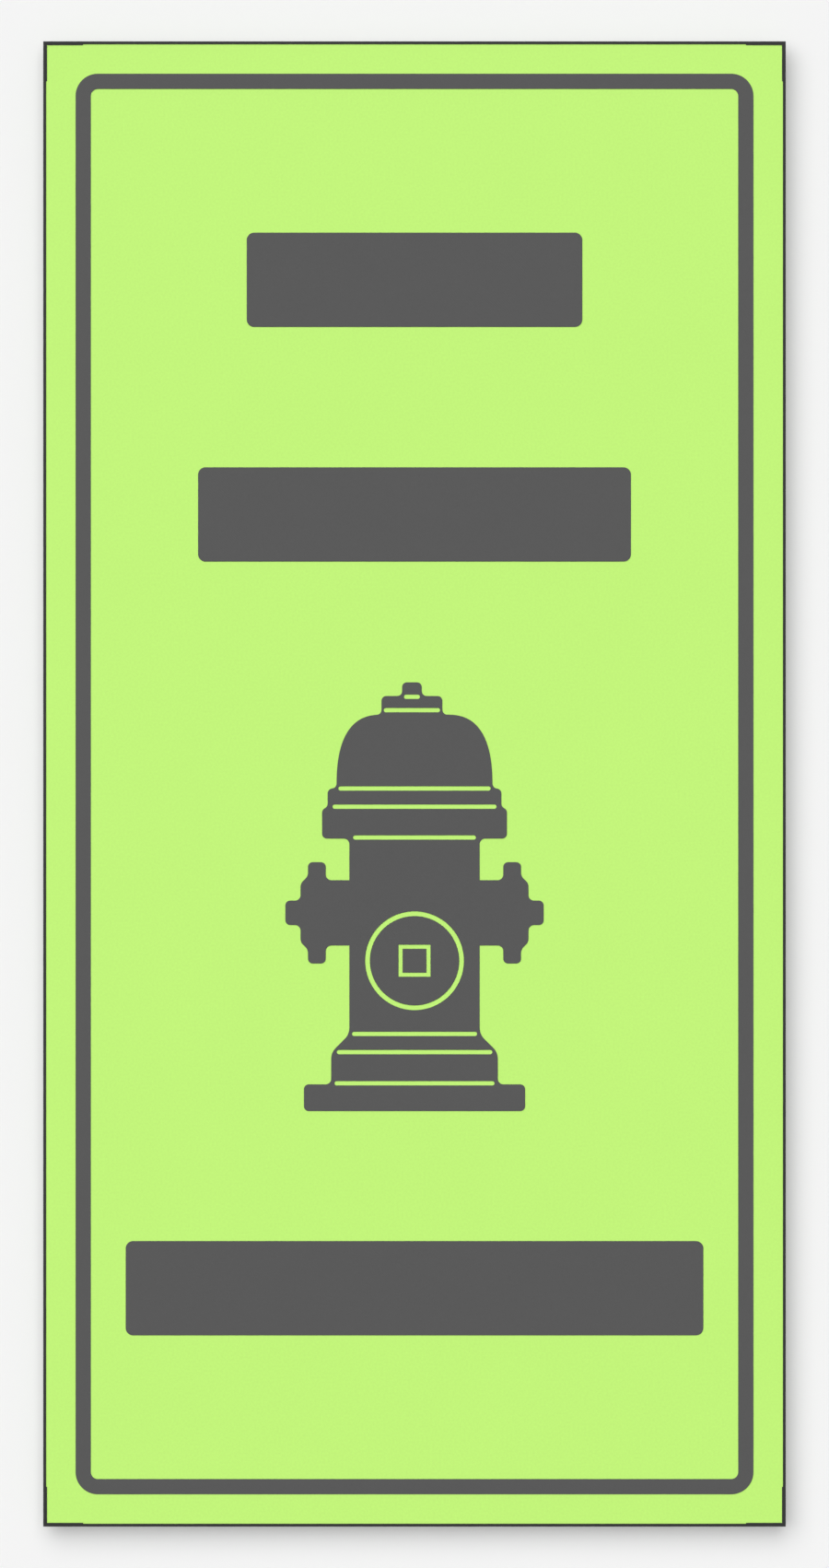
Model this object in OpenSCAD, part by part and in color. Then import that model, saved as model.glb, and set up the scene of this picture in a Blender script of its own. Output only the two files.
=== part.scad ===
// Wall sign for a fire hydrant: one flat plastic sheet, printed on its front face.
// Origin at the middle of the back face. +X is to the right of someone who faces
// the print, +Z is up, and the print looks along -Y.

/* [Sheet] */
// Width of the sheet
sheet_w = 100; // [96:1:120]
// Height of the sheet
sheet_h = 200; // [196:1:240]
// Thickness of the sheet
sheet_t = 1.5; // [0.8:0.1:3]
// Thickness of the printed ink
ink_t = 0.1; // [0.05:0.01:0.3]

/* [Edge line] */
// Width of the thin line round the edge of the sheet
edge_line_w = 0.38; // [0.2:0.02:0.8]
// Width of the heavier stretch of that line at each corner
corner_line_w = 0.5; // [0.4:0.02:1]
// Length of the heavier stretch, from the corner of the sheet
corner_line_len = 5.35; // [3:0.05:12]

/* [Border band] */
// Gap from the edge of the sheet to the band
border_inset = 4.35; // [2:0.05:5]
// Width of the band
border_w = 2.05; // [1:0.05:2.5]
// Radius of the band's outer corners
border_r = 3; // [2.6:0.1:6]

/* [Plain bars] */
// Height of each bar
bar_h = 12.7; // [8:0.1:18]
// Radius of the bars' corners
bar_r = 1; // [0.2:0.1:3]
// Lengths of the bars, from the top one down
bar_lengths = [45.2, 58.3, 77.8]; // [30:0.1:80]
// Distance from each end of the sheet to the middle of its nearest bar
bar_margin = 32.1; // [28:0.1:34]
// Distance between the middles of the two upper bars
bar_pitch = 31.6; // [24:0.1:33]

/* [Hydrant figure: place and lines] */
// Height of the figure's foot above the lower edge of the sheet
figure_foot_z = 55.95; // [52:0.05:58]
// Radius of the small outer corners
corner_r = 0.65; // [0.2:0.05:0.7]
// Radius of the small inner corners
fillet_r = 0.75; // [0.2:0.05:0.8]
// Radius of the two arcs that make each soft step between the dome and the flanges
step_r = 0.7; // [0.3:0.05:0.9]
// Width of the fine unprinted lines
line_w = 0.58; // [0.3:0.02:0.8]

/* [Hydrant figure: base and barrel] */
// Width of the foot plate
foot_w = 29.8; // [26:0.1:34]
// Height of the foot plate
foot_h = 3.6; // [2.5:0.05:5]
// Width of the pedestal
pedestal_w = 22.45; // [20.5:0.05:24]
// Height of the pedestal's straight side
pedestal_h = 4.3; // [3:0.05:6]
// Radius at both ends of the pedestal's slope
slope_r = 2.1; // [0.5:0.1:2.4]
// Width of the barrel
barrel_w = 17.55; // [16:0.05:18.5]
// Height of the barrel's top above the foot's underside
barrel_top = 36.7; // [35.5:0.05:40]

/* [Hydrant figure: bonnet] */
// Width of the lower flange
lower_flange_w = 24.9; // [24.5:0.1:28]
// Height of the lower flange
lower_flange_h = 4.1; // [3:0.05:6]
// Width of the upper flange
upper_flange_w = 23.4; // [23:0.1:23.8]
// Height of the upper flange
upper_flange_h = 2.65; // [2.3:0.05:4]
// Width of the dome
dome_w = 21; // [19:0.1:21.2]
// Height of the dome
dome_h = 9.95; // [8:0.05:12]
// Width of the dome's round shoulder on each side
shoulder_w = 6.3; // [4:0.05:6.5]
// Fullness of the shoulder: 2 is an ellipse, and more is squarer
shoulder_power = 2.6; // [2:0.05:3.5]
// Width of the collar on the dome
collar_w = 8.2; // [7:0.1:8.6]
// Height of the collar
collar_h = 2.5; // [2.2:0.05:4]
// Width of the nut on the collar
nut_w = 2.65; // [2:0.05:4]
// Height of the nut
nut_h = 1.85; // [1.4:0.05:3]
// How far the nut and the collar are drawn to the left of the middle
top_shift = 0.35; // [0:0.05:0.5]

/* [Hydrant figure: side outlets] */
// Height of the outlets' axis above the foot's underside
outlet_z = 26.7; // [24:0.05:28]
// Height of the outlets' arms
arm_h = 8.8; // [7:0.1:10]
// Distance from the middle to the inner side of the cap plates
plate_in = 11.95; // [11:0.05:13]
// Thickness of the cap plates
plate_t = 2.4; // [1.6:0.1:3.5]
// Height of the cap plates
plate_h = 13.65; // [13:0.05:15]
// Depth of the raised middle of each cap
crown_t = 1; // [0.8:0.05:1.5]
// Height of that raised middle
crown_h = 7.9; // [7:0.1:8.5]
// Radius at both ends of the slope from the plate to the raised middle
crown_r = 1.1; // [0.5:0.05:1.2]
// Reach of the nut on each cap
cap_nut_t = 2.05; // [1.5:0.05:3]
// Height of the nut on each cap
cap_nut_h = 3.3; // [2.6:0.1:4]

/* [Hydrant figure: barrel cap] */
// Height of the cap's middle above the foot's underside
cap_z = 20.25; // [19.5:0.05:21]
// Radius of the unprinted ring, at its outside
cap_ring_r = 6.65; // [4:0.05:7.5]
// Width of the unprinted ring's line
cap_ring_line = 0.63; // [0.3:0.01:0.8]
// Side of the unprinted square, at its outside
cap_square = 4.3; // [3:0.1:6]
// Width of the unprinted square's line
cap_square_line = 0.54; // [0.3:0.02:0.8]

/* [Hydrant figure: fine lines] */
// Rise of the nut's and the collar's line above the foot of each
top_line_rise = [-0.1, 0.6]; // [-0.3:0.05:0.8]
// Rise of the dome's, the upper flange's and the lower flange's line above the foot of each
flange_line_rise = [0, 0.2, 0.15]; // [-0.3:0.05:0.4]
// Rise of the base's lines above the slope's top, the slope's foot and the foot plate
base_line_rise = [0.05, 0.05, 0.15]; // [-0.3:0.05:0.4]
// Gap left between the end of a line and the side of its tier, from the nut down
line_gap = [0.25, 0.3, 0.25, 0.65, 0.5, 0.35, 0.75, 0.45]; // [0.2:0.05:1]

/* [Hidden] */

sheet_colour = [0.765, 0.961, 0.478];
grey_ink = [0.357, 0.357, 0.357];
dark_ink = [0.19, 0.19, 0.19];

// Chords in a quarter turn of a corner: some for any radius, and more for each millimetre of it
arc_steps_least = 4;
arc_steps_per_mm = 4;
// Chords along one shoulder of the dome, and round a circle
shoulder_steps = 24;
circle_steps = 96;

// Levels of the figure, measured up from the underside of its foot
slope_h = (pedestal_w - barrel_w) / 2;
slope_z = foot_h + pedestal_h;
barrel_z = slope_z + slope_h;
upper_flange_z = barrel_top + lower_flange_h;
dome_z = upper_flange_z + upper_flange_h;
collar_z = dome_z + dome_h;
nut_z = collar_z + collar_h;
figure_top = nut_z + nut_h;

// A low tier gives up to this share of its height to its corner and to its fillet
tier_share = 0.45;
collar_corner_r = min(corner_r, tier_share * collar_h);
nut_corner_r = min(corner_r, tier_share * nut_h);

// Share of a soft step's radius that its arcs use, so that a short flat stays between them
step_arc_share = 0.97;

// Length of dome left free beyond the fillets at its top and at its foot
fillet_clear = 0.2;

// Radius at the ends of the fine lines, just under half their width so that a short flat stays
line_end_r = 0.49 * line_w;

function unit(v) = v / norm(v);
function direction(v) = atan2(v.y, v.x);

// Turn from one direction to another, between -180 and 180 degrees
function turn(from, to) = (to - from + 540) % 360 - 180;

// The arc that rounds one corner, from the side of the point before to that of the point after
function rounded_corner(before, corner, after, r) =
    let (
        to_before = unit(before - corner),
        to_after = unit(after - corner),
        half_angle = acos(to_before * to_after) / 2,
        centre = corner + unit(to_before + to_after) * r / sin(half_angle),
        start = direction(corner + to_before * r / tan(half_angle) - centre),
        end = direction(corner + to_after * r / tan(half_angle) - centre),
        swing = turn(start, end),
        steps = ceil(abs(swing) / 90 * (arc_steps_least + arc_steps_per_mm * r))
    )
    [
        for (i = [0 : steps])
            let (angle = start + swing * i / steps)
            centre + r * [cos(angle), sin(angle)]
    ];

function point(corner) = [corner.x, corner.y];

// Outline through corners given as [x, y, radius], where a radius of 0 stays sharp
function outline(corners) =
    let (last = len(corners) - 1)
    [
        for (i = [0 : last])
            let (
                corner = corners[i],
                before = corners[i == 0 ? last : i - 1],
                after = corners[i == last ? 0 : i + 1]
            )
            each corner.z > 0
                ? rounded_corner(point(before), point(corner), point(after), corner.z)
                : [point(corner)]
    ];

function reversed(list) = [for (i = [len(list) - 1 : -1 : 0]) list[i]];

// Rounded rectangle about the middle
module rounded_rectangle(w, h, r) {
    polygon(outline([
        [w / 2, h / 2, r],
        [-w / 2, h / 2, r],
        [-w / 2, -h / 2, r],
        [w / 2, -h / 2, r]
    ]));
}

// Height of the dome's outline at a distance x from the middle
function dome_height(x) =
    let (share = max(0, (x - dome_w / 2 + shoulder_w) / shoulder_w))
    dome_z + dome_h * pow(1 - pow(share, shoulder_power), 1 / shoulder_power);

// Points down one shoulder of the dome, from a distance x out to the step at its foot
function shoulder(from_x) =
    let (
        flat_w = dome_w / 2 - shoulder_w,
        share = max(0, (from_x - flat_w) / shoulder_w),
        first_angle = acos(pow(share, shoulder_power / 2))
    )
    [
        for (i = [0 : shoulder_steps])
            let (
                angle = first_angle * (1 - i / shoulder_steps),
                x = flat_w + shoulder_w * pow(cos(angle), 2 / shoulder_power),
                rise = dome_h * pow(sin(angle), 2 / shoulder_power)
            )
            if (rise > step_r + fillet_clear)
                [x, dome_z + rise, 0]
    ];

// Soft step out to the side of the tier below, as two corners whose arcs meet in an S about the height z
function soft_step(inner_x, outer_x, z) =
    let (
        swing = acos(max(0, 1 - (outer_x - inner_x) / (2 * step_r))),
        slant_h = (outer_x - inner_x) * cos(swing) / sin(swing)
    )
    [
        [inner_x, z + slant_h / 2, step_arc_share * step_r],
        [outer_x, z - slant_h / 2, step_arc_share * step_r]
    ];

// Nut, collar and dome on one side, where shift moves the nut and the collar outwards
function bonnet_side(shift) =
    let (
        nut_x = nut_w / 2 + shift,
        collar_x = collar_w / 2 + shift
    )
    concat(
        [
            [nut_x, figure_top, nut_corner_r],
            [nut_x, nut_z, nut_corner_r],
            [collar_x, nut_z, collar_corner_r],
            [collar_x, dome_height(collar_x), collar_corner_r]
        ],
        shoulder(collar_x + collar_corner_r + fillet_clear)
    );

// Both flanges on one side, from the foot of the dome to the top of the barrel
function flange_side() = concat(
    soft_step(dome_w / 2, upper_flange_w / 2, dome_z),
    soft_step(upper_flange_w / 2, lower_flange_w / 2, upper_flange_z),
    [
        [lower_flange_w / 2, barrel_top, corner_r],
        [barrel_w / 2, barrel_top, fillet_r]
    ]
);

// Upper half of a side outlet, as distance from the middle and height over the outlet's axis
function outlet_half() =
    let (
        plate_out = plate_in + plate_t,
        crown_out = plate_out + crown_t
    )
    [
        [barrel_w / 2, arm_h / 2, 0],
        [plate_in, arm_h / 2, fillet_r],
        [plate_in, plate_h / 2, corner_r],
        [plate_out, plate_h / 2, corner_r],
        [plate_out, crown_h / 2 + crown_t, crown_r],
        [crown_out, crown_h / 2, crown_r],
        [crown_out, cap_nut_h / 2, fillet_r],
        [crown_out + cap_nut_t, cap_nut_h / 2, corner_r]
    ];

function outlet_side() = concat(
    [for (p = outlet_half()) [p.x, outlet_z + p.y, p.z]],
    [for (p = reversed(outlet_half())) [p.x, outlet_z - p.y, p.z]]
);

// Slope, pedestal and foot on one side
function base_side() = [
    [barrel_w / 2, barrel_z, slope_r],
    [pedestal_w / 2, slope_z, slope_r],
    [pedestal_w / 2, foot_h, fillet_r],
    [foot_w / 2, foot_h, corner_r],
    [foot_w / 2, 0, corner_r]
];

function figure_side(shift) = concat(bonnet_side(shift), flange_side(), outlet_side(), base_side());

// Silhouette of the hydrant, down its right side and back up its left
module silhouette() {
    right = figure_side(-top_shift);
    left = [for (p = reversed(figure_side(top_shift))) [-p.x, p.y, p.z]];
    polygon(outline(concat(right, left)));
}

// Fine lines as [middle, height, width of the tier], from the nut down
fine_lines = [
    [-top_shift, nut_z + top_line_rise[0], nut_w],
    [-top_shift, collar_z + top_line_rise[1], collar_w],
    [0, dome_z + flange_line_rise[0], dome_w],
    [0, upper_flange_z + flange_line_rise[1], upper_flange_w],
    [0, barrel_top + flange_line_rise[2], barrel_w],
    [0, barrel_z + base_line_rise[0], barrel_w],
    [0, slope_z + base_line_rise[1], pedestal_w],
    [0, foot_h + base_line_rise[2], pedestal_w]
];

// All the round-ended fine lines that stay unprinted
module fine_line_gaps() {
    for (i = [0 : len(fine_lines) - 1])
        translate([fine_lines[i].x, fine_lines[i].y])
            rounded_rectangle(fine_lines[i].z - 2 * line_gap[i], line_w, line_end_r);
}

// Disc inside the unprinted ring, with its square
module barrel_cap() {
    difference() {
        circle(cap_ring_r - cap_ring_line, $fn = circle_steps);
        square(cap_square, center = true);
    }
    square(cap_square - 2 * cap_square_line, center = true);
}

// Lays a flat drawing on the front face of the sheet as a layer of ink
module printed(colour) {
    color(colour)
        translate([0, -sheet_t, 0])
            rotate([90, 0, 0])
                linear_extrude(ink_t)
                    children();
}

module sheet() {
    color(sheet_colour)
        translate([-sheet_w / 2, -sheet_t, -sheet_h / 2])
            cube([sheet_w, sheet_t, sheet_h]);
}

// The line is one frame, from which the space inside is cut: narrower at the corners
module edge_line() {
    printed(dark_ink)
        difference() {
            square([sheet_w, sheet_h], center = true);
            square([sheet_w - 2 * corner_line_w, sheet_h - 2 * corner_line_w], center = true);
            square([sheet_w - 2 * corner_line_len, sheet_h - 2 * edge_line_w], center = true);
            square([sheet_w - 2 * edge_line_w, sheet_h - 2 * corner_line_len], center = true);
        }
}

module border_band() {
    outer = [sheet_w - 2 * border_inset, sheet_h - 2 * border_inset];
    inner = outer - 2 * [border_w, border_w];
    printed(grey_ink)
        difference() {
            rounded_rectangle(outer.x, outer.y, border_r);
            rounded_rectangle(inner.x, inner.y, border_r - border_w);
        }
}

module hydrant_figure() {
    printed(grey_ink)
        translate([0, figure_foot_z - sheet_h / 2]) {
            difference() {
                silhouette();
                fine_line_gaps();
                translate([0, cap_z])
                    circle(cap_ring_r, $fn = circle_steps);
            }
            translate([0, cap_z])
                barrel_cap();
        }
}

module plain_bars() {
    end_z = sheet_h / 2 - bar_margin;
    middles = [end_z, end_z - bar_pitch, -end_z];
    printed(grey_ink)
        for (i = [0 : len(middles) - 1])
            translate([0, middles[i]])
                rounded_rectangle(bar_lengths[i], bar_h, bar_r);
}

sheet();
edge_line();
border_band();
hydrant_figure();
plain_bars();
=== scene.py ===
"""Looks of the hydrant sign: its afterglow plastic, the prints in ink on it, and a plain studio."""

import math

import bpy
from bpy.props import FloatProperty, FloatVectorProperty, IntProperty, PointerProperty
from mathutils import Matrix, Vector


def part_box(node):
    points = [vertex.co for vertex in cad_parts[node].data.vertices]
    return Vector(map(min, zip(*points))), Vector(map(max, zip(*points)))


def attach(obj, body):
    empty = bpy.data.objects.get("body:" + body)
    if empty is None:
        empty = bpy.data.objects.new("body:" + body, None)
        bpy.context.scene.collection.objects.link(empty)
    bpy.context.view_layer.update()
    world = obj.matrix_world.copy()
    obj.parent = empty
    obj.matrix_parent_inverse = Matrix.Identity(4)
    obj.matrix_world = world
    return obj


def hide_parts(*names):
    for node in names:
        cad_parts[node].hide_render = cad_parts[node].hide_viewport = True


bl_info = {
    "name": "Hydrant Sign Finishes",
    "version": (1, 0, 0),
    "blender": (4, 5, 0),
    "location": "3D View > Sidebar > Sign",
    "description": "Prints and finishes a flat wall sign with a hydrant figure",
    "category": "Object",
}

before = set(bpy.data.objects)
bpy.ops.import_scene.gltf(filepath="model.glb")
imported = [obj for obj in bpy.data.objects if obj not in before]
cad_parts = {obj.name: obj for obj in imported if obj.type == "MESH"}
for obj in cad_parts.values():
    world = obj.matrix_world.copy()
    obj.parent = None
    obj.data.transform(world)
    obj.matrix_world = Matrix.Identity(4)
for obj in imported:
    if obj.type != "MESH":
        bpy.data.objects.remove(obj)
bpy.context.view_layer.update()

BODY = "root"
MM = 0.001
QUARTER_TURN = math.radians(90)
# Distance from one node to the next in the node editor
NODE_SPACING = 180
# Corners of a print that lie closer together than this are one
MERGE_DISTANCE = 0.001 * MM
# Strength of a distant lamp that lights a face square to it as bright as its colour is written
FULL_LIGHT = math.pi

sheet_low, sheet_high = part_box("sheet")
SHEET_FRONT, SHEET_BACK = sheet_low.y, sheet_high.y
HALF_WIDTH, HALF_HEIGHT = sheet_high.x, sheet_high.z
INK_THICKNESS = SHEET_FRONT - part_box("border_band")[0].y


def from_screen(red, green, blue):
    """Linear colour of an sRGB screen colour given as three numbers from 0 to 255."""
    def linear(value):
        share = value / 255
        return share / 12.92 if share <= 0.04045 else ((share + 0.055) / 1.055) ** 2.4

    return linear(red), linear(green), linear(blue), 1.0


def colour_property(name, description, default):
    """A setting for a colour and its alpha."""
    return FloatVectorProperty(
        name=name, description=description, subtype="COLOR", size=4, min=0, max=1, default=default
    )


def length_property(name, description, default):
    """A setting for a length in metres."""
    return FloatProperty(
        name=name, description=description, unit="LENGTH", min=0, precision=5, default=default
    )


def share_property(name, description, default):
    """A setting for a share from 0 to 1."""
    return FloatProperty(
        name=name, description=description, subtype="FACTOR", min=0, max=1, default=default
    )


def angle_property(name, description, degrees):
    """A setting for an angle, whose default is given in degrees."""
    return FloatProperty(
        name=name, description=description, subtype="ANGLE", default=math.radians(degrees)
    )


class SignSheetSettings(bpy.types.PropertyGroup):
    """Plastic of the sheet"""

    colour: colour_property("Colour", "Colour of the plastic by day", from_screen(191, 242, 116))
    cut_colour: colour_property(
        "Cut edge colour",
        "Colour of the sawn sides, frosted by the cut",
        from_screen(204, 244, 148),
    )
    back_colour: colour_property(
        "Back colour", "Colour of the bare back", from_screen(189, 233, 128)
    )
    roughness: share_property("Roughness", "Roughness of the front", 0.5)
    cut_roughness: share_property("Cut edge roughness", "Roughness of the sawn sides", 0.8)
    back_roughness: share_property("Back roughness", "Roughness of the bare back", 0.65)
    shine: share_property("Shine", "Specular level of the plastic", 0.2)
    grain_size: length_property("Grain size", "Size of one grain of glow pigment", 0.3 * MM)
    grain_contrast: share_property("Grain contrast", "How much the grains vary in tone", 0.05)
    mottle_size: length_property("Mottle size", "Size of the slow changes in tone", 18 * MM)
    mottle_contrast: share_property("Mottle contrast", "How much the slow changes vary", 0.012)
    relief: length_property("Relief", "Depth of the surface's fine relief", 0.01 * MM)
    stroke_depth: length_property("Stroke depth", "Depth of the saw's strokes", 0.05 * MM)
    roller_depth: length_property(
        "Roller depth", "Depth of the roller's marks on the back", 0.06 * MM
    )


class SignInkSettings(bpy.types.PropertyGroup):
    """Inks and the shapes printed with them"""

    grey: colour_property("Grey ink", "Ink of the band, figure and bars", from_screen(81, 81, 81))
    near_black: colour_property(
        "Dark ink", "Ink of the line round the edge", from_screen(40, 40, 40)
    )
    roughness: share_property("Roughness", "Roughness of dry ink", 0.55)
    roughness_swing: share_property("Roughness swing", "How much the roughness varies", 0.08)
    shine: share_property("Shine", "Specular level of dry ink", 0.15)
    mesh_pitch: length_property(
        "Mesh pitch", "Distance between the printing screen's threads", 0.35 * MM
    )
    mesh_depth: length_property("Mesh depth", "Depth of the screen's mark in the ink", 0.01 * MM)
    cover_size: length_property("Cover size", "Size of the patches of thicker ink", 6 * MM)
    cover_contrast: share_property("Cover contrast", "How much the ink's tone varies", 0.03)
    rim: length_property("Rim", "Width of the slope round a printed shape", 0.03 * MM)
    band_width: length_property("Band width", "Width of the border band", 2.05 * MM)
    band_radius: length_property("Band corner radius", "Radius of the band's outer corners", 3 * MM)
    bar_radius: length_property("Bar corner radius", "Radius of the bars' corners", 1 * MM)
    corner_steps: IntProperty(
        name="Corner steps", description="Points in each rounded corner", min=2, max=64, default=24
    )


class SignStudioSettings(bpy.types.PropertyGroup):
    """Camera, wall, floor and lamps"""

    lens: FloatProperty(
        name="Focal length",
        description="Focal length of the camera",
        unit="CAMERA",
        min=20,
        default=135,
    )
    view_height: length_property(
        "View height", "Height that the picture takes in at the sign", 211.17 * MM
    )
    wall_gap: length_property("Wall gap", "Distance from the sign's back to the wall", 2.2 * MM)
    wall_width: length_property("Wall width", "Width and height of the wall", 4)
    floor_drop: length_property(
        "Floor drop", "Distance from the sign's middle down to the floor", 0.6
    )
    floor_width: length_property("Floor width", "Width and depth of the floor", 60)
    paint: colour_property(
        "Paint", "Colour of the wall, the floor and the surroundings", from_screen(245, 245, 245)
    )
    wall_lift: share_property("Wall lift", "Share of the wall's colour that shadow leaves", 0.18)
    floor_lift: share_property("Floor lift", "Share of the floor's colour that shadow leaves", 0.97)
    key_turn: angle_property("Key turn", "Angle of the main lamp to the left", 12)
    key_lift: angle_property("Key lift", "Angle of the main lamp above the sign", 20)
    key_spread: angle_property("Key spread", "Angle across each lamp", 70)
    key_share: share_property("Key share", "Light that the main lamp gives the sign's front", 0.8)
    back_share: share_property(
        "Back share", "Light that the lamp behind gives the sign's back", 0.8
    )
    sky_share: share_property("Sky share", "Light that comes evenly from all round", 0.2)


def add_node(tree, kind, inputs=None, **settings):
    """Adds a node right of the others, and gives each of its inputs a value or a link."""
    node = tree.nodes.new(kind)
    node.location.x = NODE_SPACING * len(tree.nodes)
    for name, value in settings.items():
        setattr(node, name, value)
    for key, value in (inputs or {}).items():
        if isinstance(value, bpy.types.NodeSocket):
            tree.links.new(value, node.inputs[key])
        else:
            node.inputs[key].default_value = value
    return node


def new_tree(name, kind, inputs, outputs):
    """A node group. Each input is (name, socket type, default), and each output (name, type)."""
    tree = bpy.data.node_groups.new(name, kind)
    for label, socket_type, default in inputs:
        socket = tree.interface.new_socket(label, in_out="INPUT", socket_type=socket_type)
        if default is not None:
            socket.default_value = default
    for label, socket_type in outputs:
        tree.interface.new_socket(label, in_out="OUTPUT", socket_type=socket_type)
    return tree, tree.nodes.new("NodeGroupInput").outputs


def emptied_tree(block):
    """The node tree of a material or a world, with no node left in it."""
    block.use_nodes = True
    block.node_tree.nodes.clear()
    return block.node_tree


def maths(tree, operation, first, second=0.0, third=0.0):
    """Result of one Math node. The third number counts only where the operation takes three."""
    values = {0: first, 1: second, 2: third}
    return add_node(tree, "ShaderNodeMath", values, operation=operation).outputs[0]


def vector_maths(tree, operation, first, second=(0.0, 0.0, 0.0), scale=1.0):
    """Result of one Vector Math node. The fourth input is the scale, and counts only for SCALE."""
    values = {0: first, 1: second, 3: scale}
    return add_node(tree, "ShaderNodeVectorMath", values, operation=operation).outputs[0]


def split(tree, vector):
    """The X, Y and Z of a vector."""
    return add_node(tree, "ShaderNodeSeparateXYZ", {"Vector": vector}).outputs


def combined(tree, **coordinates):
    """A vector of the coordinates that are named, with 0 for the others."""
    return add_node(tree, "ShaderNodeCombineXYZ", coordinates).outputs[0]


def noise(tree, place, size, detail):
    """Noise from 0 to 1 whose patches are about as large as the given size."""
    values = {"Vector": place, "Scale": maths(tree, "DIVIDE", 1.0, size), "Detail": detail}
    return add_node(tree, "ShaderNodeTexNoise", values).outputs["Fac"]


def swing(tree, value, contrast):
    """A value from 0 to 1 turned into one that swings about 0 by the contrast."""
    return maths(tree, "MULTIPLY", maths(tree, "MULTIPLY_ADD", value, 2.0, -1.0), contrast)


def add_group(tree, group, inputs):
    """Places a shader node group, and gives back what it puts out."""
    return add_node(tree, "ShaderNodeGroup", inputs, node_tree=group).outputs


def mix_colours(tree, blend, factor, first, second):
    """Mix of two colours. Its sockets go by their places, because the node repeats their names."""
    factor_place, first_place, second_place, result_place = 0, 6, 7, 2
    values = {factor_place: factor, first_place: first, second_place: second}
    node = add_node(tree, "ShaderNodeMix", values, data_type="RGBA", blend_type=blend)
    return node.outputs[result_place]


def mix_shaders(tree, factor, first, second):
    """Mix of what two shader nodes put out."""
    values = {0: factor, 1: first.outputs[0], 2: second.outputs[0]}
    return add_node(tree, "ShaderNodeMixShader", values)


def grain_group():
    """Fine grain over slow mottling: a tone about 1 for the colour, and the height of each."""
    tree, given = new_tree(
        "Sign grain",
        "ShaderNodeTree",
        (
            ("Vector", "NodeSocketVector", None),
            ("Grain size", "NodeSocketFloat", 0.3 * MM),
            ("Grain contrast", "NodeSocketFloat", 0.05),
            ("Mottle size", "NodeSocketFloat", 18 * MM),
            ("Mottle contrast", "NodeSocketFloat", 0.012),
        ),
        (
            ("Tone", "NodeSocketFloat"),
            ("Grain", "NodeSocketFloat"),
            ("Mottle", "NodeSocketFloat"),
        ),
    )
    grain = noise(tree, given["Vector"], given["Grain size"], detail=2.0)
    mottle = noise(tree, given["Vector"], given["Mottle size"], detail=3.0)
    fine = swing(tree, grain, given["Grain contrast"])
    slow = swing(tree, mottle, given["Mottle contrast"])
    tone = maths(tree, "ADD", maths(tree, "ADD", fine, slow), 1.0)
    add_node(tree, "NodeGroupOutput", {"Tone": tone, "Grain": grain, "Mottle": mottle})
    return tree


def screen_group():
    """Mark that the threads of a printing screen leave in ink, as a height from 0 to 1."""
    tree, given = new_tree(
        "Sign screen mark",
        "ShaderNodeTree",
        (("Vector", "NodeSocketVector", None), ("Pitch", "NodeSocketFloat", 0.35 * MM)),
        (("Height", "NodeSocketFloat"),),
    )
    place = split(tree, given["Vector"])
    turns = maths(tree, "DIVIDE", math.tau, given["Pitch"])
    across = maths(tree, "SINE", maths(tree, "MULTIPLY", place["X"], turns))
    upright = maths(tree, "SINE", maths(tree, "MULTIPLY", place["Z"], turns))
    woven = maths(tree, "MULTIPLY", across, upright)
    add_node(tree, "NodeGroupOutput", {"Height": maths(tree, "MULTIPLY_ADD", woven, 0.5, 0.5)})
    return tree


def cut_edge_group():
    """Mask of the sheet's four sawn sides, and the height of the saw's strokes across them."""
    tree, given = new_tree(
        "Sign cut edge",
        "ShaderNodeTree",
        (
            ("Vector", "NodeSocketVector", None),
            ("Half width", "NodeSocketFloat", 50 * MM),
            ("Half height", "NodeSocketFloat", 100 * MM),
            ("Depth", "NodeSocketFloat", 0.02 * MM),
            ("Stroke size", "NodeSocketFloat", 0.25 * MM),
        ),
        (("Mask", "NodeSocketFloat"), ("Height", "NodeSocketFloat")),
    )
    place = split(tree, given["Vector"])

    def past(coordinate, half):
        reach = maths(tree, "ABSOLUTE", coordinate)
        return maths(tree, "GREATER_THAN", reach, maths(tree, "SUBTRACT", half, given["Depth"]))

    beside = past(place["X"], given["Half width"])
    above = past(place["Z"], given["Half height"])
    mask = maths(tree, "MAXIMUM", beside, above)
    along = combined(tree, X=maths(tree, "ADD", place["X"], place["Z"]))
    strokes = noise(tree, along, given["Stroke size"], detail=3.0)
    height = maths(tree, "MULTIPLY", strokes, mask)
    add_node(tree, "NodeGroupOutput", {"Mask": mask, "Height": height})
    return tree


def roller_group():
    """Mask of the sheet's back, and the height of the long marks that the rollers left on it."""
    tree, given = new_tree(
        "Sign roller marks",
        "ShaderNodeTree",
        (
            ("Vector", "NodeSocketVector", None),
            ("Back", "NodeSocketFloat", 0.0),
            ("Depth", "NodeSocketFloat", 0.02 * MM),
            ("Mark width", "NodeSocketFloat", 0.8 * MM),
            ("Stretch", "NodeSocketFloat", 0.02),
        ),
        (("Mask", "NodeSocketFloat"), ("Height", "NodeSocketFloat")),
    )
    place = split(tree, given["Vector"])
    limit = maths(tree, "SUBTRACT", given["Back"], given["Depth"])
    mask = maths(tree, "GREATER_THAN", place["Y"], limit)
    upright = maths(tree, "MULTIPLY", place["Z"], given["Stretch"])
    marks = noise(tree, combined(tree, X=place["X"], Z=upright), given["Mark width"], detail=4.0)
    height = maths(tree, "MULTIPLY", marks, mask)
    add_node(tree, "NodeGroupOutput", {"Mask": mask, "Height": height})
    return tree


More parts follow.
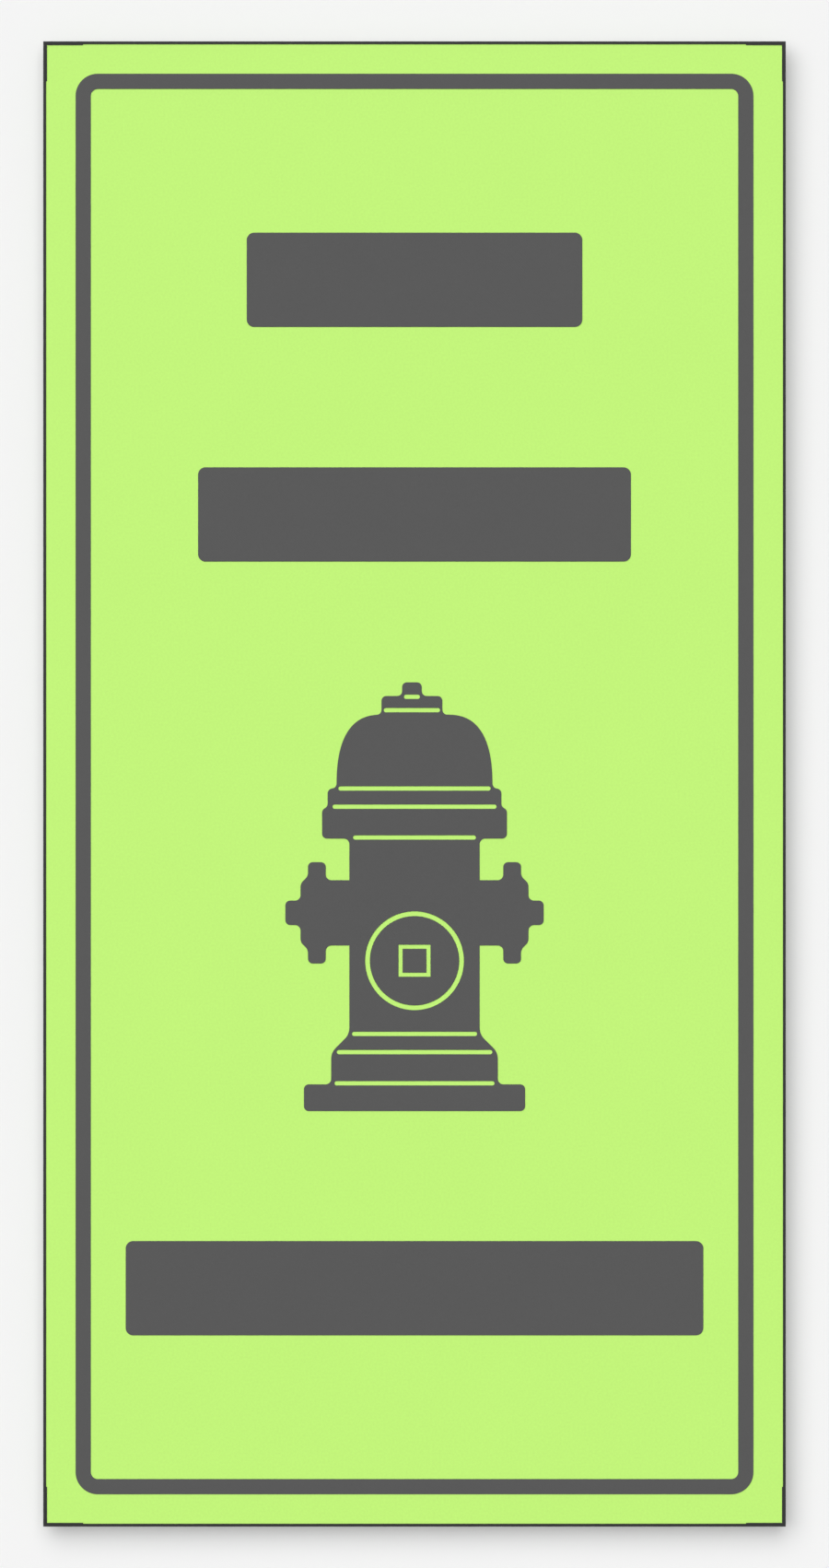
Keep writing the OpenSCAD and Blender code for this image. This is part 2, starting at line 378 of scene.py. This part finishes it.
def new_material(name):
    """A node material with its Principled shader, and the piece's own coordinates."""
    material = bpy.data.materials.new(name)
    tree = emptied_tree(material)
    shader = add_node(tree, "ShaderNodeBsdfPrincipled")
    add_node(tree, "ShaderNodeOutputMaterial", {"Surface": shader.outputs["BSDF"]})
    place = add_node(tree, "ShaderNodeTexCoord").outputs["Object"]
    return material, tree, shader, place


def add_relief(tree, shader, height):
    """Relief from a height in metres."""
    bump = add_node(tree, "ShaderNodeBump", {"Height": height, "Distance": 1.0})
    tree.links.new(bump.outputs["Normal"], shader.inputs["Normal"])


def blend_shares(tree, start, steps):
    """A number that moves from its start by each step's amount, as far as the step's mask says."""
    total = start
    for mask, end in steps:
        total = maths(tree, "MULTIPLY_ADD", mask, end - start, total)
    return total


def sheet_material(look, groups):
    """Satin afterglow plastic with pigment grain, faint mottling, frosted sides and a rolled back."""
    material, tree, shader, place = new_material("Afterglow plastic")
    grain = add_group(
        tree,
        groups["grain"],
        {
            "Vector": place,
            "Grain size": look.grain_size,
            "Grain contrast": look.grain_contrast,
            "Mottle size": look.mottle_size,
            "Mottle contrast": look.mottle_contrast,
        },
    )
    cut = add_group(
        tree,
        groups["cut edge"],
        {"Vector": place, "Half width": HALF_WIDTH, "Half height": HALF_HEIGHT},
    )
    back = add_group(tree, groups["roller"], {"Vector": place, "Back": SHEET_BACK})
    dyed = mix_colours(tree, "MIX", back["Mask"], look.colour, look.back_colour)
    frosted = mix_colours(tree, "MIX", cut["Mask"], dyed, look.cut_colour)
    grained = mix_colours(tree, "MULTIPLY", 1.0, frosted, grain["Tone"])
    tree.links.new(grained, shader.inputs["Base Color"])
    steps = ((back["Mask"], look.back_roughness), (cut["Mask"], look.cut_roughness))
    tree.links.new(blend_shares(tree, look.roughness, steps), shader.inputs["Roughness"])
    height = maths(tree, "MULTIPLY", grain["Grain"], look.relief)
    height = maths(tree, "MULTIPLY_ADD", cut["Height"], look.stroke_depth, height)
    height = maths(tree, "MULTIPLY_ADD", back["Height"], look.roller_depth, height)
    add_relief(tree, shader, height)
    shader.inputs["Specular IOR Level"].default_value = look.shine
    return material


def ink_material(name, colour, look, groups):
    """Dry satin ink with the mark of the screen it was pulled through, and glossier where thick."""
    material, tree, shader, place = new_material(name)
    cover = add_group(
        tree,
        groups["grain"],
        {
            "Vector": place,
            "Grain size": look.mesh_pitch,
            "Grain contrast": look.cover_contrast,
            "Mottle size": look.cover_size,
            "Mottle contrast": look.cover_contrast,
        },
    )
    mark = add_group(tree, groups["screen"], {"Vector": place, "Pitch": look.mesh_pitch})
    inked = mix_colours(tree, "MULTIPLY", 1.0, colour, cover["Tone"])
    tree.links.new(inked, shader.inputs["Base Color"])
    varied = swing(tree, cover["Mottle"], look.roughness_swing)
    tree.links.new(maths(tree, "ADD", varied, look.roughness), shader.inputs["Roughness"])
    uneven = maths(tree, "ADD", mark["Height"], cover["Grain"])
    add_relief(tree, shader, maths(tree, "MULTIPLY", uneven, look.mesh_depth))
    shader.inputs["Specular IOR Level"].default_value = look.shine
    return material


PRINT_INPUTS = (
    ("Geometry", "NodeSocketGeometry", None),
    ("Thickness", "NodeSocketFloat", 0.1 * MM),
    ("Rim", "NodeSocketFloat", 0.03 * MM),
    ("Front", "NodeSocketFloat", 0.0),
    ("Ink", "NodeSocketMaterial", None),
)
CORNER_INPUTS = (
    ("Corner radius", "NodeSocketFloat", 1 * MM),
    ("Corner steps", "NodeSocketInt", 24),
)


def rounded_paths(tree, given):
    """The drawn rectangles as closed paths with rounded corners."""
    drawn = add_node(tree, "GeometryNodeMeshToCurve", {"Mesh": given["Geometry"]})
    rounded = add_node(
        tree,
        "GeometryNodeFilletCurve",
        {
            "Curve": drawn.outputs[0],
            "Radius": given["Corner radius"],
            "Count": given["Corner steps"],
        },
        mode="POLY",
    )
    return rounded.outputs[0]


def end_print(tree, given, lying, lift):
    """Stands a lying print up on the sheet's front, lifted off it, and gives it its ink."""
    place = combined(tree, Y=maths(tree, "SUBTRACT", given["Front"], lift))
    stood = add_node(
        tree,
        "GeometryNodeTransform",
        {"Geometry": lying, "Translation": place, "Rotation": (QUARTER_TURN, 0, 0)},
    )
    crisp = add_node(
        tree, "GeometryNodeSetShadeSmooth", {"Geometry": stood.outputs[0], "Shade Smooth": False}
    )
    real = add_node(tree, "GeometryNodeRealizeInstances", {"Geometry": crisp.outputs[0]})
    inked = add_node(
        tree, "GeometryNodeSetMaterial", {"Geometry": real.outputs[0], "Material": given["Ink"]}
    )
    add_node(tree, "NodeGroupOutput", {"Geometry": inked.outputs[0]})


def print_tree(name, *inputs):
    """An empty tree for a print, with the inputs that all prints have and its own."""
    return new_tree(
        name, "GeometryNodeTree", (*PRINT_INPUTS, *inputs), (("Geometry", "NodeSocketGeometry"),)
    )


def merged(tree, mesh):
    """The mesh with the corners that lie in one place made one."""
    values = {"Geometry": mesh, "Distance": MERGE_DISTANCE}
    return add_node(tree, "GeometryNodeMergeByDistance", values).outputs[0]


def band_tree():
    """A printed band along the middle of each drawn rectangle's outline, with sloping rims."""
    tree, given = print_tree(
        "Printed band", *CORNER_INPUTS, ("Band width", "NodeSocketFloat", 2 * MM)
    )
    path = add_node(
        tree, "GeometryNodeSetCurveNormal", {"Curve": rounded_paths(tree, given)}, mode="Z_UP"
    )
    section = add_node(
        tree,
        "GeometryNodeCurvePrimitiveQuadrilateral",
        {"Width": given["Band width"], "Height": given["Thickness"]},
    )
    corner = add_node(tree, "GeometryNodeInputPosition").outputs[0]
    in_front = maths(tree, "LESS_THAN", split(tree, corner)["Y"], 0.0)
    # Rounded in one step, a front corner becomes a single slope.
    rimmed = add_node(
        tree,
        "GeometryNodeFilletCurve",
        {
            "Curve": section.outputs[0],
            "Radius": maths(tree, "MULTIPLY", in_front, given["Rim"]),
            "Count": 1,
        },
        mode="POLY",
    )
    band = add_node(
        tree,
        "GeometryNodeCurveToMesh",
        {"Curve": path.outputs[0], "Profile Curve": rimmed.outputs[0]},
    )
    half_thickness = maths(tree, "MULTIPLY", given["Thickness"], 0.5)
    end_print(tree, given, band.outputs[0], half_thickness)
    return tree


def raise_print(tree, given, flat):
    """Raises flat faces into a layer of ink with sloping rims, closed underneath."""
    # Faces that are joined before they have a material bring an empty slot with them.
    face = add_node(
        tree, "GeometryNodeSetMaterial", {"Geometry": flat, "Material": given["Ink"]}
    ).outputs[0]

    def raised(height, **faces):
        values = {"Offset Scale": height, "Individual": False, **faces}
        return add_node(tree, "GeometryNodeExtrudeMesh", values, mode="FACES").outputs

    wall = raised(maths(tree, "SUBTRACT", given["Thickness"], given["Rim"]), Mesh=face)
    slope = raised(given["Rim"], Mesh=wall["Mesh"], Selection=wall["Top"])
    # Without its height, the normal of a point on the top's edge looks straight out of the shape.
    normal = add_node(tree, "GeometryNodeInputNormal").outputs[0]
    outwards = vector_maths(
        tree, "NORMALIZE", vector_maths(tree, "MULTIPLY", normal, (1.0, 1.0, 0.0))
    )
    inwards = vector_maths(
        tree, "SCALE", outwards, scale=maths(tree, "MULTIPLY", given["Rim"], -1.0)
    )
    sloped = add_node(
        tree,
        "GeometryNodeSetPosition",
        {"Geometry": slope["Mesh"], "Selection": slope["Top"], "Offset": inwards},
    )
    under = add_node(tree, "GeometryNodeFlipFaces", {"Mesh": face})
    both = add_node(tree, "GeometryNodeJoinGeometry", {"Geometry": under.outputs[0]})
    tree.links.new(sloped.outputs[0], both.inputs[0])
    end_print(tree, given, merged(tree, both.outputs[0]), 0.0)


def bar_tree():
    """A printed bar on each drawn rectangle, with rounded corners."""
    tree, given = print_tree("Printed bars", *CORNER_INPUTS)
    filled = add_node(
        tree, "GeometryNodeFillCurve", {"Curve": rounded_paths(tree, given)}, mode="NGONS"
    )
    raise_print(tree, given, filled.outputs[0])
    return tree


def figure_tree():
    """A printed figure as wide and as high as the faces that are drawn for it."""
    tree, given = print_tree("Printed figure")
    raise_print(tree, given, merged(tree, given["Geometry"]))
    return tree


def new_piece(name, corners, faces):
    """A piece with the given mesh, at the origin."""
    mesh = bpy.data.meshes.new(name)
    mesh.from_pydata(corners, [], faces)
    piece = bpy.data.objects.new(name, mesh)
    bpy.context.scene.collection.objects.link(piece)
    return piece


def drawn_piece(name, boxes, inset=0.0):
    """A piece that starts as a flat rectangle for each box, with its height along Y."""
    corners = []
    for low, high in boxes:
        left, right = low.x + inset, high.x - inset
        bottom, top = low.z + inset, high.z - inset
        corners += [(left, bottom, 0), (right, bottom, 0), (right, top, 0), (left, top, 0)]
    faces = [range(first, first + 4) for first in range(0, len(corners), 4)]
    return new_piece(name, corners, faces)


def faces_of(node):
    """Corners and normal of each face of a node, whose mesh is loose triangles."""
    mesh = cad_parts[node].data
    for face in mesh.polygons:
        yield [mesh.vertices[index].co for index in face.vertices], face.normal


def traced_piece(name, node):
    """A piece that starts as a flat copy of a node's front faces, with its height along Y."""
    corners, faces = [], []
    for places, normal in faces_of(node):
        looks_forward = round(normal.y) == -1
        if looks_forward:
            faces.append(range(len(corners), len(corners) + len(places)))
            corners += [(place.x, place.z, 0) for place in places]
    return new_piece(name, corners, faces)


def add_modifier(piece, tree, values):
    """Adds a Geometry Nodes modifier and sets its inputs by their identifiers."""
    modifier = piece.modifiers.new(tree.name, "NODES")
    modifier.node_group = tree
    sockets = {
        item.name: item.identifier
        for item in tree.interface.items_tree
        if item.item_type == "SOCKET" and item.in_out == "INPUT"
    }
    for name, value in values.items():
        modifier[sockets[name]] = value


def settle(piece):
    """Turns what the modifiers make into the piece's own mesh, and removes them."""
    shown = piece.evaluated_get(bpy.context.evaluated_depsgraph_get())
    before = piece.data
    piece.data = bpy.data.meshes.new_from_object(shown)
    piece.data.name = piece.name
    piece.modifiers.clear()
    bpy.data.meshes.remove(before)


def finish_node(node, material):
    """Gives a node of the frame its finish."""
    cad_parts[node].material_slots[0].material = material


def material_named(name):
    """A finish that an earlier operator made."""
    if name not in bpy.data.materials:
        raise RuntimeError(f"the finish {name!r} isn't there yet: mix the finishes first")
    return bpy.data.materials[name]


def union(first, second):
    """Lowest and highest corner of two boxes together."""
    return Vector(map(min, first[0], second[0])), Vector(map(max, first[1], second[1]))


def bars_of(node):
    """Lowest and highest corner of each bar in a node, from the lowest bar up."""
    bars = []
    boxes = [(Vector(map(min, *places)), Vector(map(max, *places))) for places, _ in faces_of(node)]
    for box in sorted(boxes, key=lambda box: box[0].z):
        starts_above = not bars or box[0].z > bars[-1][1].z
        if starts_above:
            bars.append(box)
        else:
            bars[-1] = union(bars[-1], box)
    return bars


def print_piece(piece, tree, shape, look, node):
    """Prints a drawn piece on the sheet's front in grey ink, and lets it stand for a node.

    The shape holds the values of the inputs that the tree has beside those of every print.
    """
    values = {
        "Thickness": INK_THICKNESS,
        "Rim": look.rim,
        "Front": SHEET_FRONT,
        "Ink": material_named("Grey ink"),
    }
    add_modifier(piece, tree, values | shape)
    settle(piece)
    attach(piece, BODY)
    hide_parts(node)


class SIGN_OT_mix_finishes(bpy.types.Operator):
    """Mix the plastic and the two inks"""

    bl_idname = "sign.mix_finishes"
    bl_label = "Mix finishes"

    def execute(self, context):
        scene = context.scene
        groups = {
            "grain": grain_group(),
            "screen": screen_group(),
            "cut edge": cut_edge_group(),
            "roller": roller_group(),
        }
        sheet_material(scene.sign_sheet, groups)
        ink_material("Grey ink", scene.sign_ink.grey, scene.sign_ink, groups)
        ink_material("Dark ink", scene.sign_ink.near_black, scene.sign_ink, groups)
        return {"FINISHED"}


class SIGN_OT_finish_sheet(bpy.types.Operator):
    """Give the plastic sheet its finish"""

    bl_idname = "sign.finish_sheet"
    bl_label = "Finish sheet"

    def execute(self, context):
        finish_node("sheet", material_named("Afterglow plastic"))
        return {"FINISHED"}


class SIGN_OT_finish_edge_line(bpy.types.Operator):
    """Ink the thin line round the edge"""

    bl_idname = "sign.finish_edge_line"
    bl_label = "Ink edge line"

    def execute(self, context):
        finish_node("edge_line", material_named("Dark ink"))
        return {"FINISHED"}


class SIGN_OT_print_figure(bpy.types.Operator):
    """Print the hydrant figure"""

    bl_idname = "sign.print_figure"
    bl_label = "Print hydrant figure"

    def execute(self, context):
        piece = traced_piece("figure_print", "hydrant_figure")
        print_piece(piece, figure_tree(), {}, context.scene.sign_ink, "hydrant_figure")
        return {"FINISHED"}


class SIGN_OT_print_band(bpy.types.Operator):
    """Print the border band along its rounded path"""

    bl_idname = "sign.print_band"
    bl_label = "Print border band"

    def execute(self, context):
        look = context.scene.sign_ink
        half_band = look.band_width / 2
        piece = drawn_piece("border_print", [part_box("border_band")], half_band)
        shape = {
            "Corner radius": look.band_radius - half_band,
            "Corner steps": look.corner_steps,
            "Band width": look.band_width,
        }
        print_piece(piece, band_tree(), shape, look, "border_band")
        return {"FINISHED"}


class SIGN_OT_print_bars(bpy.types.Operator):
    """Print the plain bars"""

    bl_idname = "sign.print_bars"
    bl_label = "Print plain bars"

    def execute(self, context):
        look = context.scene.sign_ink
        piece = drawn_piece("bar_print", bars_of("plain_bars"))
        shape = {"Corner radius": look.bar_radius, "Corner steps": look.corner_steps}
        print_piece(piece, bar_tree(), shape, look, "plain_bars")
        return {"FINISHED"}


def square(half):
    """Corners of a square about the middle, anticlockwise."""
    return (-half, -half), (half, -half), (half, half), (-half, half)


def stage_sheet(name, corners, material):
    """One flat piece of the studio, whose corners turn anticlockwise seen from its lit side."""
    piece = new_piece(name, corners, [range(len(corners))])
    piece.data.materials.append(material)


def studio_paint(name, colour, lift):
    """Pale paint that only the camera sees, from its lit side, so that it blocks no other view.

    Light that comes straight from a lamp or the sky passes through it. Light that bounces meets it
    as black, which keeps the gap behind the sign dark.
    """
    material = bpy.data.materials.new(name)
    tree = emptied_tree(material)
    paint = add_node(tree, "ShaderNodeBsdfDiffuse", {"Color": colour})
    glow = add_node(tree, "ShaderNodeEmission", {"Color": colour, "Strength": 1.0})
    lifted = mix_shaders(tree, lift, paint, glow)
    clear = add_node(tree, "ShaderNodeBsdfTransparent")
    dark = add_node(tree, "ShaderNodeBsdfDiffuse", {"Color": (0, 0, 0, 1)})
    rays = add_node(tree, "ShaderNodeLightPath").outputs
    bounces = maths(tree, "ADD", rays["Diffuse Depth"], rays["Is Shadow Ray"])
    unseen = mix_shaders(tree, maths(tree, "GREATER_THAN", bounces, 1.0), clear, dark)
    behind = add_node(tree, "ShaderNodeNewGeometry").outputs["Backfacing"]
    seen = maths(tree, "MULTIPLY", rays["Is Camera Ray"], maths(tree, "SUBTRACT", 1.0, behind))
    surface = mix_shaders(tree, seen, unseen, lifted)
    add_node(tree, "ShaderNodeOutputMaterial", {"Surface": surface.outputs[0]})
    return material


def light_world(look):
    """Even light from all round, and the pale colour that the camera and reflections see instead."""
    world = bpy.data.worlds.new("Studio light")
    tree = emptied_tree(world)
    white = (1, 1, 1, 1)
    even = add_node(tree, "ShaderNodeBackground", {"Color": white, "Strength": look.sky_share})
    pale = add_node(tree, "ShaderNodeBackground", {"Color": look.paint, "Strength": 1.0})
    rays = add_node(tree, "ShaderNodeLightPath").outputs
    mirrored = maths(tree, "MAXIMUM", rays["Is Glossy Ray"], rays["Is Transmission Ray"])
    seen = maths(tree, "MAXIMUM", rays["Is Camera Ray"], mirrored)
    shown = mix_shaders(tree, seen, even, pale)
    add_node(tree, "ShaderNodeOutputWorld", {"Surface": shown.outputs[0]})
    bpy.context.scene.world = world


def add_sun(name, towards, strength, spread):
    """A distant soft lamp that shines in the given direction."""
    lamp = bpy.data.lights.new(name, "SUN")
    lamp.energy = strength
    lamp.angle = spread
    sun = bpy.data.objects.new(name, lamp)
    sun.rotation_euler = towards.to_track_quat("-Z", "Y").to_euler()
    bpy.context.scene.collection.objects.link(sun)


def light_sign(look):
    """A main lamp high on the left in front, and a lamp behind for the sign's back."""
    key = Vector(
        (
            math.sin(look.key_turn) * math.cos(look.key_lift),
            math.cos(look.key_turn) * math.cos(look.key_lift),
            -math.sin(look.key_lift),
        )
    )
    back = Vector((-key.x, -key.y, key.z))
    add_sun("Key lamp", key, look.key_share * FULL_LIGHT / key.y, look.key_spread)
    add_sun("Back lamp", back, look.back_share * FULL_LIGHT / key.y, look.key_spread)


def add_camera(look):
    """A long lens square to the sign's front, as far off as the picture's height asks."""
    camera = bpy.data.cameras.new("Camera")
    camera.lens = look.lens
    distance = look.view_height * look.lens / camera.sensor_width
    view = bpy.data.objects.new("Camera", camera)
    view.location = (0, SHEET_FRONT - distance, 0)
    view.rotation_euler = (QUARTER_TURN, 0, 0)
    bpy.context.scene.collection.objects.link(view)
    bpy.context.scene.camera = view


class SIGN_OT_build_studio(bpy.types.Operator):
    """Put up the wall, floor, lamps and camera"""

    bl_idname = "sign.build_studio"
    bl_label = "Build studio"

    def execute(self, context):
        look = context.scene.sign_studio
        wall = SHEET_BACK + look.wall_gap
        half_wall, half_floor = look.wall_width / 2, look.floor_width / 2
        stage_sheet(
            "Wall",
            [(x, wall, z) for x, z in square(half_wall)],
            studio_paint("Wall paint", look.paint, look.wall_lift),
        )
        stage_sheet(
            "Floor",
            [(x, y, -look.floor_drop) for x, y in square(half_floor)],
            studio_paint("Floor paint", look.paint, look.floor_lift),
        )
        light_world(look)
        light_sign(look)
        add_camera(look)
        context.scene.view_settings.view_transform = "Standard"
        return {"FINISHED"}


class SIGN_PT_panel(bpy.types.Panel):
    """Sidebar panel with the settings of the sign and the steps that make it"""

    bl_idname = "SIGN_PT_panel"
    bl_label = "Hydrant sign"
    bl_space_type = "VIEW_3D"
    bl_region_type = "UI"
    bl_category = "Sign"

    def draw(self, context):
        for group, settings in SETTINGS.items():
            box = self.layout.box()
            for name in settings.__annotations__:
                box.prop(getattr(context.scene, group), name)
        for operator in OPERATORS:
            self.layout.operator(operator.bl_idname)


OPERATORS = (
    SIGN_OT_mix_finishes,
    SIGN_OT_finish_sheet,
    SIGN_OT_finish_edge_line,
    SIGN_OT_print_figure,
    SIGN_OT_print_band,
    SIGN_OT_print_bars,
    SIGN_OT_build_studio,
)
SETTINGS = {
    "sign_sheet": SignSheetSettings,
    "sign_ink": SignInkSettings,
    "sign_studio": SignStudioSettings,
}


def register():
    for group, settings in SETTINGS.items():
        bpy.utils.register_class(settings)
        setattr(bpy.types.Scene, group, PointerProperty(type=settings))
    for operator in OPERATORS:
        bpy.utils.register_class(operator)
    bpy.utils.register_class(SIGN_PT_panel)


def unregister():
    bpy.utils.unregister_class(SIGN_PT_panel)
    for operator in reversed(OPERATORS):
        bpy.utils.unregister_class(operator)
    for group, settings in SETTINGS.items():
        delattr(bpy.types.Scene, group)
        bpy.utils.unregister_class(settings)


def main():
    """Makes the finished sign and its studio."""
    register()
    bpy.ops.sign.mix_finishes()
    bpy.ops.sign.finish_sheet()
    bpy.ops.sign.finish_edge_line()
    bpy.ops.sign.print_figure()
    bpy.ops.sign.print_band()
    bpy.ops.sign.print_bars()
    bpy.ops.sign.build_studio()


if __name__ == "__main__":
    main()
